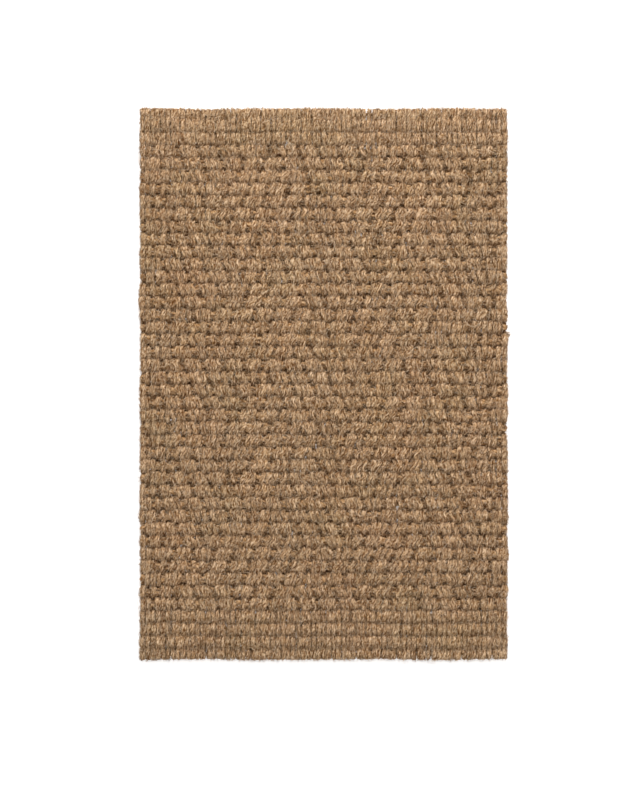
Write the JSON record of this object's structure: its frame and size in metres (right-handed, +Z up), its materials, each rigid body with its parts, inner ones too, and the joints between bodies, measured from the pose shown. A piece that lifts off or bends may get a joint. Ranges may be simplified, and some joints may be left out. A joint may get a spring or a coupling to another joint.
{
  "type": "door mat",
  "caption": "Flat rectangular door mat of thick cross ribs, woven from coarse brown coir yarn, with a diamond twill pattern and narrow hems turned under at both ends.",
  "frame": {"origin": "middle of the mat's underside, on the floor", "axes": "+X across the mat along the ribs, +Y along its length, +Z up out of the face"},
  "size_m": [0.3978, 0.6, 0.0156],
  "materials": {
    "warp_yarn": "rough, hairy brown coir yarn, matt",
    "weft_cord": "thick coir cord, hidden inside the ribs",
    "edge_cord": "thin coir cord inside the folded edge of each hem"
  },
  "bodies": {
    "root": {"warp_middle": "warp_yarn", "warp_left_01": "warp_yarn", "warp_left_02": "warp_yarn", "warp_left_03": "warp_yarn", "warp_left_04": "warp_yarn", "warp_left_05": "warp_yarn", "warp_left_06": "warp_yarn", "warp_left_07": "warp_yarn", "warp_left_08": "warp_yarn", "warp_left_09": "warp_yarn", "warp_left_10": "warp_yarn", "warp_left_11": "warp_yarn", "warp_left_12": "warp_yarn", "warp_left_13": "warp_yarn", "warp_left_14": "warp_yarn", "warp_left_15": "warp_yarn", "warp_left_16": "warp_yarn", "warp_left_17": "warp_yarn", "warp_left_18": "warp_yarn", "warp_right_01": "warp_yarn", "warp_right_02": "warp_yarn", "warp_right_03": "warp_yarn", "warp_right_04": "warp_yarn", "warp_right_05": "warp_yarn", "warp_right_06": "warp_yarn", "warp_right_07": "warp_yarn", "warp_right_08": "warp_yarn", "warp_right_09": "warp_yarn", "warp_right_10": "warp_yarn", "warp_right_11": "warp_yarn", "warp_right_12": "warp_yarn", "warp_right_13": "warp_yarn", "warp_right_14": "warp_yarn", "warp_right_15": "warp_yarn", "warp_right_16": "warp_yarn", "warp_right_17": "warp_yarn", "warp_right_18": "warp_yarn", "rib_cords_01": "weft_cord", "rib_cords_02": "weft_cord", "rib_cords_03": "weft_cord", "rib_cords_04": "weft_cord", "rib_cords_05": "weft_cord", "rib_cords_06": "weft_cord", "rib_cords_07": "weft_cord", "rib_cords_08": "weft_cord", "rib_cords_09": "weft_cord", "rib_cords_10": "weft_cord", "hem_cords_top": "weft_cord", "hem_cords_bottom": "weft_cord", "edge_cord_top": "edge_cord", "edge_cord_bottom": "edge_cord"}
  },
  "joints": []
}
